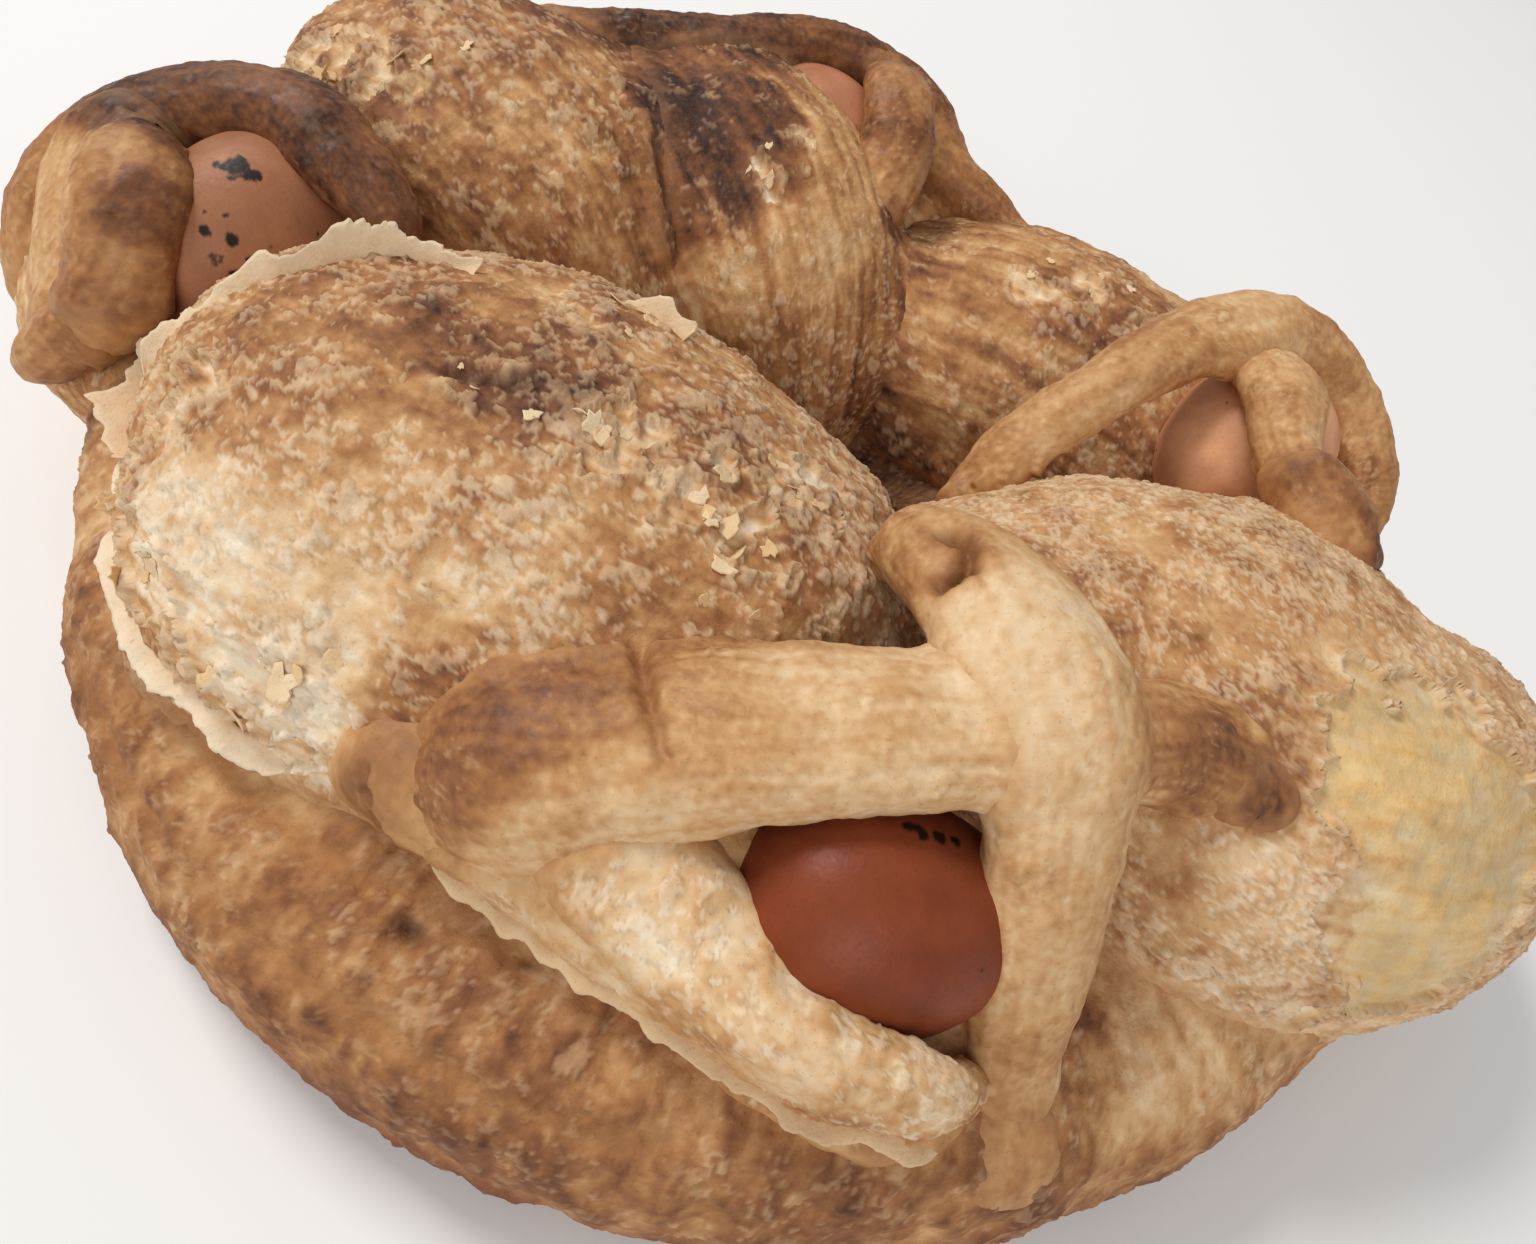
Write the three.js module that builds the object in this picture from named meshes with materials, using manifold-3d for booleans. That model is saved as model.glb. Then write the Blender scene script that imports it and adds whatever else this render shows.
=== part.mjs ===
// Braided Easter loaf: a thick twist of flaky dough closed into a ring, with four whole
// eggs in their shells sunk into it, each held down by two crossed strips of dough.
// Units: millimetres, +Z up, the loaf rests on the plane z = 0 and the middle of its
// footprint is the origin. The bread was baked as one piece and is one solid; the eggs
// are separate solids in sockets.
import * as THREE from "three";
import { mergeVertices } from "three/addons/utils/BufferGeometryUtils.js";
import Module from "manifold-3d";

const wasm = await Module();
wasm.setup();

// ---- driving dimensions ----
const EGG_LENGTH = 57; // a medium hen's egg
const EGG_WIDTH = 44;
const EGG_TAPER = 0.13; // how much the blunt end is fatter than the pointed one
const SOCKET_GAP = 0.3; // clearance between a shell and the dough round it
const CROWN = 95; // height of the highest lobes of the twist
const WALL_TOP = 59; // height of the lower strand that shows along the outside
const HOLE_LENGTH = 74; // the central hole, at its narrowest level
const HOLE_WIDTH = 46;
const HOLE_CENTRE = [-6, 14];
const LUMP = 1.3; // depth of the soft unevenness of the dough
const LUMP_PITCH = 19;
const FINE_LUMP = 0.35 * LUMP; // on the thin strips
const BAND_LUMP = 0.4 * LUMP; // on the two broad strips over the front egg

// How full the ends of a body are: 2 is an ellipse, more is blunter.
const LOBE_BLUNT = 2.6;
const STRIP_BLUNT = 3;
const BAND_BLUNT = 4;
const KNOB_BLUNT = 2;

// Section of the lower strand, as shares of its height unless stated.
const WAIST = 0.3; // level of its widest line
const CREST_MEAN = 0.72; // height of the upper side half way between the hole and the outside
const CREST_RISE = 0.28; // how much that height changes towards the outside
const SIDE_POWER = 0.72; // below 1 the sides are steeper
const CREST_POWER = 0.8;
const UNDER_DEPTH = 1.3; // above 1 so that the tray plane cuts the underside flat

// Resolution of the faceted surfaces.
const RING_STEPS = 56;
const RING_SIDES = 16;
const LOBE_STEPS = 18;
const LOBE_SIDES = 20;
const STRIP_STEPS = 14;
const STRIP_SIDES = 9;
const EGG_STEPS = 16;
const EGG_SIDES = 22;
const KNOB_STEPS = 10;
const WELD = 1e-4; // vertices closer than this are one vertex
const TINY = 1e-6;

const TRAY = 600; // side of the block that cuts the underside flat

// Colours and finish.
const CRUST_COLOUR = 0xc89a5f;
const CRUST_ROUGHNESS = 0.8;
const SHELL_ROUGHNESS = 0.45;

const SKY = new THREE.Vector3(0, 0, 1);

// Turns a closed three.js geometry into a solid that can be joined and cut.
function solid(geometry) {
  const plain = geometry.clone();
  plain.deleteAttribute("normal");
  plain.deleteAttribute("uv");
  const merged = mergeVertices(plain, WELD);
  return new wasm.Manifold(
    new wasm.Mesh({
      numProp: 3,
      vertProperties: new Float32Array(merged.attributes.position.array),
      triVerts: new Uint32Array(merged.index.array),
    })
  );
}

// Soft, smooth unevenness of risen dough at a place in space, from -1 to 1.
function unevenness(p) {
  const a = Math.sin(p.x / LUMP_PITCH + 1.3) * Math.sin(p.y / LUMP_PITCH + 0.4);
  const b = Math.sin((p.x + p.y) / (0.6 * LUMP_PITCH) + 2.1);
  const c = Math.sin((p.z - 0.7 * p.x) / (0.8 * LUMP_PITCH) + 0.9);
  return 0.5 * a + 0.25 * b + 0.25 * c;
}

// Splits control points [x, y, z, half width, half height] into a path and a size curve.
function curves(points, closed) {
  const path = points.map((p) => new THREE.Vector3(p[0], p[1], p[2]));
  const size = points.map((p) => new THREE.Vector3(p[3], p[4], 0));
  return {
    path: new THREE.CatmullRomCurve3(path, closed, "centripetal"),
    size: new THREE.CatmullRomCurve3(size, closed, "centripetal"),
  };
}

// Level direction across a path and the direction square to both.
function crossing(tangent) {
  const side = new THREE.Vector3().crossVectors(SKY, tangent).normalize();
  return { side, up: new THREE.Vector3().crossVectors(tangent, side) };
}

// A closed, rounded body carried along a path. `blunt` makes its ends fuller.
function dough(points, steps, sides, blunt, lump) {
  const { path, size } = curves(points, false);
  const shape = new THREE.SphereGeometry(1, sides, steps);
  const at = shape.attributes.position;
  const v = new THREE.Vector3();
  for (let i = 0; i < at.count; i++) {
    v.fromBufferAttribute(at, i);
    const along = THREE.MathUtils.clamp(v.y, -1, 1);
    const round = Math.hypot(v.x, v.z);
    const t = (1 - along) / 2;
    const { side, up } = crossing(path.getTangent(t));
    const full = Math.pow(1 - Math.pow(Math.abs(along), blunt), 1 / blunt);
    const reach = size.getPoint(t);
    const across = round > TINY ? (v.x / round) * full * reach.x : 0;
    const above = round > TINY ? (v.z / round) * full * reach.y : 0;
    const place = path.getPoint(t).addScaledVector(side, across).addScaledVector(up, above);
    const out = side.clone().multiplyScalar(across).addScaledVector(up, above);
    if (out.length() > TINY) {
      out.normalize();
      place.addScaledVector(out, lump * unevenness(place) * full);
    }
    at.setXYZ(i, place.x, place.y, place.z);
  }
  return solid(shape);
}

// The closed lower strand: outer radius given every 30 degrees from +X round the centre.
function ring(outerRadii, top) {
  const n = outerRadii.length;
  const rim = new THREE.CatmullRomCurve3(
    outerRadii.map((r, i) => {
      const a = (2 * Math.PI * i) / n;
      return new THREE.Vector3(r * Math.cos(a), r * Math.sin(a), 0);
    }),
    true
  );
  const shape = new THREE.TorusGeometry(1, 0.4, RING_SIDES, RING_STEPS);
  const at = shape.attributes.position;
  const v = new THREE.Vector3();
  for (let i = 0; i < at.count; i++) {
    v.fromBufferAttribute(at, i);
    const angle = Math.atan2(v.y, v.x);
    const turn = (angle / (2 * Math.PI) + 1) % 1;
    const tube = Math.atan2(v.z, Math.hypot(v.x, v.y) - 1);
    const outer = rim.getPoint(turn);
    const inner = new THREE.Vector3(
      HOLE_CENTRE[0] + (HOLE_LENGTH / 2) * Math.cos(angle),
      HOLE_CENTRE[1] + (HOLE_WIDTH / 2) * Math.sin(angle),
      0
    );
    const c = Math.cos(tube);
    const s = Math.sin(tube);
    // Squarish section: steep walls, a rounded shoulder and a flattened underside.
    const w = Math.sign(c) * Math.pow(Math.abs(c), SIDE_POWER);
    // The strand is highest near the outside and falls towards the hole.
    const crest = top * (CREST_MEAN + CREST_RISE * w);
    const waist = WAIST * top;
    const z =
      s > 0
        ? waist + (crest - waist) * Math.pow(s, CREST_POWER)
        : waist * (1 - UNDER_DEPTH * Math.sqrt(-s));
    const place = inner.clone().lerp(outer, 0.5 + 0.5 * w);
    place.z = z;
    place.addScaledVector(outer.clone().normalize(), LUMP * unevenness(place) * w);
    at.setXYZ(i, place.x, place.y, place.z);
  }
  return solid(shape);
}

// An egg, its long axis along `axis`, blunt end first; `grow` makes the socket cutter.
function egg(centre, axis, grow) {
  const shape = new THREE.SphereGeometry(1, EGG_SIDES, EGG_STEPS);
  const at = shape.attributes.position;
  const turn = new THREE.Quaternion().setFromUnitVectors(
    new THREE.Vector3(0, 1, 0),
    new THREE.Vector3(...axis).normalize()
  );
  const v = new THREE.Vector3();
  for (let i = 0; i < at.count; i++) {
    v.fromBufferAttribute(at, i);
    const fat = 1 + EGG_TAPER * v.y;
    v.set(v.x * fat * (EGG_WIDTH / 2), v.y * (EGG_LENGTH / 2), v.z * fat * (EGG_WIDTH / 2));
    v.addScaledVector(v.clone().normalize(), grow);
    v.applyQuaternion(turn);
    at.setXYZ(i, v.x + centre[0], v.y + centre[1], v.z + centre[2]);
  }
  return solid(shape);
}

const lobe = (points) => dough(points, LOBE_STEPS, LOBE_SIDES, LOBE_BLUNT, LUMP);
const strip = (points) => dough(points, STRIP_STEPS, STRIP_SIDES, STRIP_BLUNT, FINE_LUMP);
const band = (points) => dough(points, STRIP_STEPS, STRIP_SIDES, BAND_BLUNT, BAND_LUMP);
const knob = (points) => dough(points, KNOB_STEPS, STRIP_SIDES, KNOB_BLUNT, FINE_LUMP);

// ---- the twist: lobes laid over the lower strand, [x, y, z, half width, half height] ----
const lowerStrand = ring([176, 160, 150, 164, 180, 186, 184, 176, 175, 173, 172, 174], WALL_TOP);

const nearLeftLobe = lobe([
  [-150, -34, 40, 32, 32],
  [-118, -42, 46, 56, CROWN - 49],
  [-76, -54, 47, 74, CROWN - 43],
  [-32, -60, 46, 72, CROWN - 44],
  [6, -60, 42, 60, CROWN - 47],
  [34, -64, 36, 42, 36],
]);
const nearRightLobe = lobe([
  [14, -24, 42, 34, 38],
  [58, -32, 46, 56, CROWN - 46],
  [102, -38, 46, 68, CROWN - 44],
  [140, -30, 42, 58, 46],
  [162, -6, 36, 42, 40],
  [172, 24, 30, 24, 28],
]);
const backRightLobe = lobe([
  [140, 36, 34, 28, 32],
  [110, 64, 38, 44, 40],
  [68, 84, 40, 50, 42],
  [28, 96, 40, 54, 42],
  [-6, 112, 38, 46, 38],
]);
const backMiddleLobe = lobe([
  [-4, 40, 26, 26, 28],
  [-28, 68, 42, 44, 44],
  [-56, 98, 48, 52, 48],
  [-88, 132, 44, 48, 46],
  [-108, 156, 30, 30, 30],
]);
const backLeftLobe = lobe([
  [-54, 34, 34, 28, 32],
  [-88, 52, 44, 48, 48],
  [-124, 70, 50, 62, CROWN - 46],
  [-160, 78, 42, 54, 48],
  [-184, 76, 28, 32, 32],
]);
// Dough swells between the lobes round the left, front and back eggs.
const leftNest = lobe([
  [-128, 26, 40, 30, 30],
  [-160, 8, 40, 38, 28],
  [-180, -20, 36, 28, 26],
  [-166, -50, 32, 20, 20],
]);
const frontNest = lobe([
  [-46, -108, 46, 20, 18],
  [-14, -116, 56, 24, 18],
  [16, -120, 54, 26, 16],
  [60, -124, 44, 26, 16],
]);
const backNest = lobe([
  [-52, 136, 34, 28, 28],
  [-14, 136, 38, 28, 30],
  [30, 126, 34, 28, 28],
]);

const bread = [
  lowerStrand,
  nearLeftLobe,
  nearRightLobe,
  backRightLobe,
  backMiddleLobe,
  backLeftLobe,
  leftNest,
  frontNest,
  backNest,
];

// ---- dough strips and rolls round each egg ----
const frontBits = [
  // roll that cradles the egg along its outer side
  strip([[-50, -124, 56, 10, 9], [-26, -129, 58, 11, 10], [0, -135, 57, 11, 10],
    [22, -141, 52, 10, 10], [44, -144, 44, 9, 9], [64, -137, 38, 8, 8]]),
  // level strip with its swollen, well baked end
  band([[-46, -122, 60, 18, 14], [-32, -120, 68, 22, 17], [-12, -114, 77, 18, 13],
    [12, -106, 86, 17, 11], [36, -98, 91, 15, 10], [58, -89, 90, 13, 10], [82, -77, 84, 12, 11],
    [106, -70, 74, 10, 10]]),
  // steep strip laid over it
  band([[20, -50, 84, 13, 12], [32, -66, 95, 15, 10], [47, -84, 99, 16, 9], [55, -99, 94, 14, 9],
    [61, -114, 76, 12, 9], [67, -127, 54, 11, 9], [73, -136, 38, 10, 9]]),
  // its curled tip, down the side
  knob([[66, -132, 44, 10, 8], [74, -140, 34, 12, 10], [80, -146, 25, 8, 8]]),
];
const rightBits = [
  strip([[34, 0, 72, 9, 8], [54, 20, 84, 9, 8], [74, 44, 94, 9, 7], [98, 66, 97, 9, 8],
    [122, 68, 88, 9, 9], [140, 52, 74, 9, 9], [144, 34, 60, 9, 9]]),
  strip([[82, 50, 97, 8, 7], [100, 48, 98, 8, 7], [112, 36, 94, 8, 7], [114, 18, 88, 8, 8],
    [122, 8, 86, 9, 9], [140, 2, 76, 7, 7]]),
];
const backBits = [
  strip([[-136, 96, 84, 9, 8], [-106, 110, 88, 9, 8], [-76, 126, 90, 9, 8], [-46, 146, 92, 9, 8],
    [-16, 152, 82, 10, 9], [4, 136, 72, 10, 9], [24, 132, 66, 9, 8], [42, 128, 60, 8, 7]]),
  strip([[-28, 144, 92, 10, 7], [-18, 120, 94, 11, 8], [-12, 102, 84, 10, 8], [-10, 88, 74, 8, 8]]),
];
const leftBits = [
  strip([[-198, -30, 34, 13, 12], [-198, -16, 58, 13, 11], [-184, 6, 76, 13, 10],
    [-154, 12, 86, 12, 9], [-132, 4, 84, 12, 9], [-112, -6, 76, 11, 9]]),
  strip([[-182, 6, 76, 11, 8], [-182, -14, 72, 12, 9], [-178, -32, 60, 12, 10],
    [-170, -48, 48, 12, 10]]),
];
bread.push(...frontBits, ...rightBits, ...backBits, ...leftBits);

// ---- the eggs: centre and direction of the blunt end ----
const EGGS = {
  egg_front: { centre: [37, -120, 62], axis: [-1, -0.35, 0.1], colour: 0x9c5236 },
  egg_right: { centre: [105, 46, 70], axis: [0.6, 1, 0.1], colour: 0xb9764f },
  egg_back: { centre: [-38, 126, 70], axis: [-1, 0.3, 0.1], colour: 0xb57a5c },
  egg_left: { centre: [-152, -10, 64], axis: [0.2, 1, 0.1], colour: 0xb98262 },
};

let loaf = wasm.Manifold.union(bread);
for (const { centre, axis } of Object.values(EGGS)) {
  loaf = loaf.subtract(egg(centre, axis, SOCKET_GAP));
}
// The underside is flat where the dough sat on the oven tray.
const tray = new THREE.BoxGeometry(TRAY, TRAY, TRAY);
tray.translate(0, 0, -TRAY / 2);
loaf = loaf.subtract(solid(tray));
// The dough is solid throughout: pockets left between joined lobes are filled.
loaf = loaf.decompose().reduce((a, b) => (a.volume() > b.volume() ? a : b));

// Makes the named mesh of a solid.
function mesh(name, body, colour, roughness) {
  const data = body.getMesh();
  const geometry = new THREE.BufferGeometry();
  geometry.setAttribute("position", new THREE.BufferAttribute(data.vertProperties, 3));
  geometry.setIndex(new THREE.BufferAttribute(data.triVerts, 1));
  const material = new THREE.MeshStandardMaterial({ color: colour, roughness, metalness: 0 });
  const object = new THREE.Mesh(geometry, material);
  object.name = name;
  return object;
}

const group = new THREE.Group();
group.name = "braided_loaf";
group.add(mesh("loaf", loaf, CRUST_COLOUR, CRUST_ROUGHNESS));
for (const [name, { centre, axis, colour }] of Object.entries(EGGS)) {
  group.add(mesh(name, egg(centre, axis, 0), colour, SHELL_ROUGHNESS));
}

// The origin is the middle of the footprint's bounding box.
const box = new THREE.Box3().setFromObject(group);
const middle = box.getCenter(new THREE.Vector3());
for (const object of group.children) object.geometry.translate(-middle.x, -middle.y, 0);

export default group;
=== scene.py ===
"""The look of a braided Easter loaf: a thick flaky twist closed into a ring, with whole eggs
sunk in it under crossed strips of dough. Lengths in the layout are millimetres."""

import math

import bmesh
import bpy
import numpy as np
from mathutils import Matrix, Vector


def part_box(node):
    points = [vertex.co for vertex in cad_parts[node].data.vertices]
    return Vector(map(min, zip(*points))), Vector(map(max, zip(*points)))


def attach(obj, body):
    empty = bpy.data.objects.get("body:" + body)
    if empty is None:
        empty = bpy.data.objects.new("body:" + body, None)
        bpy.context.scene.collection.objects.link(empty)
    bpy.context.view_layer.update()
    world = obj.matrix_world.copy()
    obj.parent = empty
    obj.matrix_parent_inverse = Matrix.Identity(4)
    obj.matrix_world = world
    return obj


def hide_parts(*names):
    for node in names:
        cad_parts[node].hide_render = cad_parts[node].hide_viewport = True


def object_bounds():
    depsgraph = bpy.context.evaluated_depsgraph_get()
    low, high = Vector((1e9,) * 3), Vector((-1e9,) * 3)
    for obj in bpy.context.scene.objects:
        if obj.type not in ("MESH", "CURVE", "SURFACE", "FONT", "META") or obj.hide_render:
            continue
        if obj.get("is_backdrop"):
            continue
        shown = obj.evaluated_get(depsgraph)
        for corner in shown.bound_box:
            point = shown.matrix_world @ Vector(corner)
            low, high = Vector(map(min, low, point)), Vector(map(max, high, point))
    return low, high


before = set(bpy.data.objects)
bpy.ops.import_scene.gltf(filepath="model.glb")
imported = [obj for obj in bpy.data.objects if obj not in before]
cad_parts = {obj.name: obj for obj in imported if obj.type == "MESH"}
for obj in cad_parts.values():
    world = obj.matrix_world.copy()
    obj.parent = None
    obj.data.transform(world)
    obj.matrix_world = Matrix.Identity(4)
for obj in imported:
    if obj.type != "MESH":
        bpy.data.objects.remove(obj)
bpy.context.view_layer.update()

MM = 0.001
FINE = 1.0

# ---- driving dimensions, the same as the CAD part's ----
EGG_LENGTH = 57.0
EGG_WIDTH = 44.0
EGG_TAPER = 0.13
CROWN = 95.0
WALL_TOP = 59.0
HOLE_LENGTH = 74.0
HOLE_WIDTH = 46.0
HOLE_CENTRE = (-6.0, 14.0)
LUMP = 1.3
LUMP_PITCH = 19.0
SKY = np.array([0.0, 0.0, 1.0])


# ---- noise ----
_rng = np.random.default_rng(41)
PERM = _rng.permutation(256)
GRADS = _rng.normal(size=(256, 3))
GRADS /= np.linalg.norm(GRADS, axis=1)[:, None]
JITTER = _rng.random((256, 4))


def lattice(i):
    return PERM[(PERM[(PERM[i[:, 0] & 255] + i[:, 1]) & 255] + i[:, 2]) & 255]


def noise(p, size=1.0, seed=0):
    """Smooth noise at points p, about -1 to 1, with features `size` across."""
    q = p / size + 17.31 * seed
    cell = np.floor(q).astype(np.int64)
    f = q - cell
    u = f * f * f * (f * (f * 6 - 15) + 10)
    total = np.zeros(len(p))
    for corner in np.ndindex(2, 2, 2):
        c = np.array(corner)
        slope = (GRADS[lattice(cell + c)] * (f - c)).sum(1)
        total += np.prod(np.where(c == 1, u, 1 - u), axis=1) * slope
    return 1.7 * total


def fbm(p, size=1.0, octaves=3, seed=0):
    total, weight = np.zeros(len(p)), 0.0
    for k in range(octaves):
        total += noise(p, size / 2**k, seed + 3 * k) / 2**k
        weight += 0.5**k
    return total / weight


def cells(p, size, seed=0):
    """Distance to the nearest of a scatter of points, in units of size, and that point's number."""
    q = p / size + 9.7 * seed
    cell = np.floor(q).astype(np.int64)
    f = q - cell
    best, who = np.full(len(p), 9.0), np.zeros(len(p), np.int64)
    for corner in np.ndindex(3, 3, 3):
        c = np.array(corner) - 1
        h = lattice(cell + c)
        d = ((JITTER[h, :3] + c - f) ** 2).sum(1)
        closer = d < best
        best, who = np.where(closer, d, best), np.where(closer, h, who)
    return np.sqrt(best), JITTER[who, 3]


def smooth(low, high, x):
    t = np.clip((x - low) / (high - low), 0, 1)
    return t * t * (3 - 2 * t)


def unevenness(p):
    x, y, z = p[..., 0], p[..., 1], p[..., 2]
    a = np.sin(x / LUMP_PITCH + 1.3) * np.sin(y / LUMP_PITCH + 0.4)
    b = np.sin((x + y) / (0.6 * LUMP_PITCH) + 2.1)
    c = np.sin((z - 0.7 * x) / (0.8 * LUMP_PITCH) + 0.9)
    return 0.5 * a + 0.25 * b + 0.25 * c


# ---- curves and bodies of dough ----
def spline(points, t, closed=False):
    """Centripetal Catmull-Rom curve through points, at the parameters t from 0 to 1."""
    points = np.asarray(points, float)
    n = len(points)
    at = (n if closed else n - 1) * np.asarray(t, float)
    i = np.floor(at).astype(int)
    if not closed:
        i = np.clip(i, 0, n - 2)
    w = (at - i)[:, None]
    if closed:
        p0, p1, p2, p3 = (points[(i + k) % n] for k in (-1, 0, 1, 2))
    else:
        more = np.vstack([2 * points[0] - points[1], points, 2 * points[-1] - points[-2]])
        p0, p1, p2, p3 = (more[i + k] for k in (0, 1, 2, 3))
    pairs = ((p0, p1), (p1, p2), (p2, p3))
    d0, d1, d2 = (((a - b) ** 2).sum(1, keepdims=True) ** 0.25 for a, b in pairs)
    d1 = np.where(d1 < 1e-4, 1.0, d1)
    d0 = np.where(d0 < 1e-4, d1, d0)
    d2 = np.where(d2 < 1e-4, d1, d2)
    m1 = d1 * ((p1 - p0) / d0 - (p2 - p0) / (d0 + d1) + (p2 - p1) / d1)
    m2 = d1 * ((p2 - p1) / d1 - (p3 - p1) / (d1 + d2) + (p3 - p2) / d2)
    return p1 + m1 * w + (3 * (p2 - p1) - 2 * m1 - m2) * w**2 + (2 * (p1 - p2) + m1 + m2) * w**3


def unit(v):
    return v / np.maximum(np.linalg.norm(v, axis=-1, keepdims=True), 1e-9)


class Dough:
    """A closed, rounded body of dough along a path of [x, y, z, half width, half height]."""

    def __init__(self, points, blunt=2.6, lump=LUMP):
        points = np.array(points, float)
        self.path = points[:, :3]
        self.size = np.column_stack([points[:, 3:5], np.zeros(len(points))])
        self.blunt = blunt
        self.lump = lump
        t = np.linspace(0, 1, 41)
        spine = spline(self.path, t)
        reach = self.size.max()
        self.low, self.high = spine.min(0) - reach - 8, spine.max(0) + reach + 8
        self.knots = self.section(t[1:-1])

    def section(self, t):
        """Centre, tangent, side, up, half sizes and fullness, 0 at the ends, at t."""
        c = spline(self.path, t)
        e = 1e-4
        ahead, behind = np.minimum(t + e, 1), np.maximum(t - e, 0)
        tangent = unit(spline(self.path, ahead) - spline(self.path, behind))
        side = unit(np.cross(SKY, tangent))
        half = spline(self.size, t)[:, :2]
        full = (1 - np.abs(1 - 2 * t) ** self.blunt) ** (1 / self.blunt)
        return c, tangent, side, np.cross(tangent, side), half * full[:, None], full

    def surface(self, t, angle):
        """Points of the plain surface, in rows along the path."""
        c, _, side, up, half, full = self.section(t)
        out = (
            np.cos(angle)[None, :, None] * (side * half[:, :1])[:, None]
            + np.sin(angle)[None, :, None] * (up * half[:, 1:])[:, None]
        )
        p = c[:, None] + out
        return p + unit(out) * (self.lump * unevenness(p) * full[:, None])[..., None]

    def depth(self, p):
        """About how far points are outside the surface, negative inside; far away is 99."""
        d = np.full(len(p), 99.0)
        near = np.where(((p > self.low) & (p < self.high)).all(1))[0]
        if not len(near):
            return d
        q = p[near]
        c, tangent, side, up, half, _ = self.knots
        along = np.abs(((q[:, None] - c[None]) * tangent[None]).sum(2))
        apart = ((q[:, None] - c[None]) ** 2).sum(2)
        k = np.argmin(3 * along**2 + 0.15 * apart, axis=1)
        off = q - c[k]
        a = (off * side[k]).sum(1) / half[k, 0]
        b = (off * up[k]).sum(1) / half[k, 1]
        rest = (off * tangent[k]).sum(1)
        rho = np.maximum(np.hypot(a, b), 1e-3)
        radial = np.sqrt(np.maximum((off**2).sum(1) - rest**2, 0)) * (1 - 1 / rho)
        d[near] = np.where(np.abs(rest) > 6, np.maximum(radial, np.abs(rest)), radial)
        return d


class Ring:
    """The closed lower strand of the twist."""

    def __init__(self, radii, top):
        a = 2 * np.pi * np.arange(len(radii)) / len(radii)
        self.rim = np.column_stack([radii * np.cos(a), radii * np.sin(a), 0 * a])
        self.top = top
        turn = np.linspace(0, 1, 361)
        edge = spline(self.rim, turn, closed=True)
        self.outer_angle = np.unwrap(np.arctan2(edge[:, 1], edge[:, 0]))
        self.outer_radius = np.hypot(edge[:, 0], edge[:, 1])

    def profile(self, across):
        """Height of the upper surface at `across`, from -1 at the hole to 1 at the outside."""
        across = np.clip(across, -1, 1)
        s = np.sqrt(1 - np.abs(across) ** (2 / 0.72))
        crest = self.top * (0.72 + 0.28 * across)
        return 0.3 * self.top + (crest - 0.3 * self.top) * s**0.8

    def surface(self, turn, tube):
        angle = 2 * np.pi * turn
        outer = spline(self.rim, turn % 1, closed=True)[:, None]
        inner = np.zeros_like(outer)
        inner[:, 0, 0] = HOLE_CENTRE[0] + HOLE_LENGTH / 2 * np.cos(angle)
        inner[:, 0, 1] = HOLE_CENTRE[1] + HOLE_WIDTH / 2 * np.sin(angle)
        c, s = np.cos(tube), np.sin(tube)
        w = np.sign(c) * np.abs(c) ** 0.72
        base = 0.3 * self.top
        crest = self.top * (0.72 + 0.28 * w)
        above = base + (crest - base) * np.abs(s) ** 0.8
        z = np.where(s > 0, above, base * (1 - 1.3 * np.sqrt(np.abs(s))))
        p = inner + (outer - inner) * (0.5 + 0.5 * w)[None, :, None]
        p[..., 2] = z[None]
        return p + unit(outer) * (LUMP * unevenness(p) * w[None])[..., None]

    def depth(self, p):
        angle = np.arctan2(p[:, 1], p[:, 0])
        full = 2 * np.pi
        outer = np.interp(angle % full, self.outer_angle % full, self.outer_radius, period=full)
        hx, hy = p[:, 0] - HOLE_CENTRE[0], p[:, 1] - HOLE_CENTRE[1]
        turn = np.arctan2(hy / HOLE_WIDTH, hx / HOLE_LENGTH)
        hole = np.hypot(HOLE_LENGTH / 2 * np.cos(turn), HOLE_WIDTH / 2 * np.sin(turn))
        from_hole = np.hypot(hx, hy) - hole
        to_rim = outer - np.hypot(p[:, 0], p[:, 1])
        across = (from_hole - to_rim) / np.maximum(from_hole + to_rim, 1)
        level = p[:, 2] - self.profile(across)
        return np.maximum(np.maximum(-from_hole, -to_rim), 0.8 * level)


RIM = np.array([176, 160, 150, 164, 180, 186, 184, 176, 175, 173, 172, 174.0])  # every 30 degrees
lower_strand = Ring(RIM, WALL_TOP)

LOBES = {
    "near_left": Dough([
        [-150, -34, 40, 32, 32], [-118, -42, 46, 56, CROWN - 49],
        [-76, -54, 47, 74, CROWN - 43], [-32, -60, 46, 72, CROWN - 44],
        [6, -60, 42, 60, CROWN - 47], [34, -64, 36, 42, 36]]),
    "near_right": Dough([
        [14, -24, 42, 34, 38], [58, -32, 46, 56, CROWN - 46],
        [102, -38, 46, 68, CROWN - 44], [140, -30, 42, 58, 46],
        [162, -6, 36, 42, 40], [172, 24, 30, 24, 28]]),
    "back_right": Dough([
        [140, 36, 34, 28, 32], [110, 64, 38, 44, 40], [68, 84, 40, 50, 42],
        [28, 96, 40, 54, 42], [-6, 112, 38, 46, 38]]),
    "back_middle": Dough([
        [-4, 40, 26, 26, 28], [-28, 68, 42, 44, 44], [-56, 98, 48, 52, 48],
        [-88, 132, 44, 48, 46], [-108, 156, 30, 30, 30]]),
    "back_left": Dough([
        [-54, 34, 34, 28, 32], [-88, 52, 44, 48, 48],
        [-124, 70, 50, 62, CROWN - 46], [-160, 78, 42, 54, 48],
        [-184, 76, 28, 32, 32]]),
}
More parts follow.
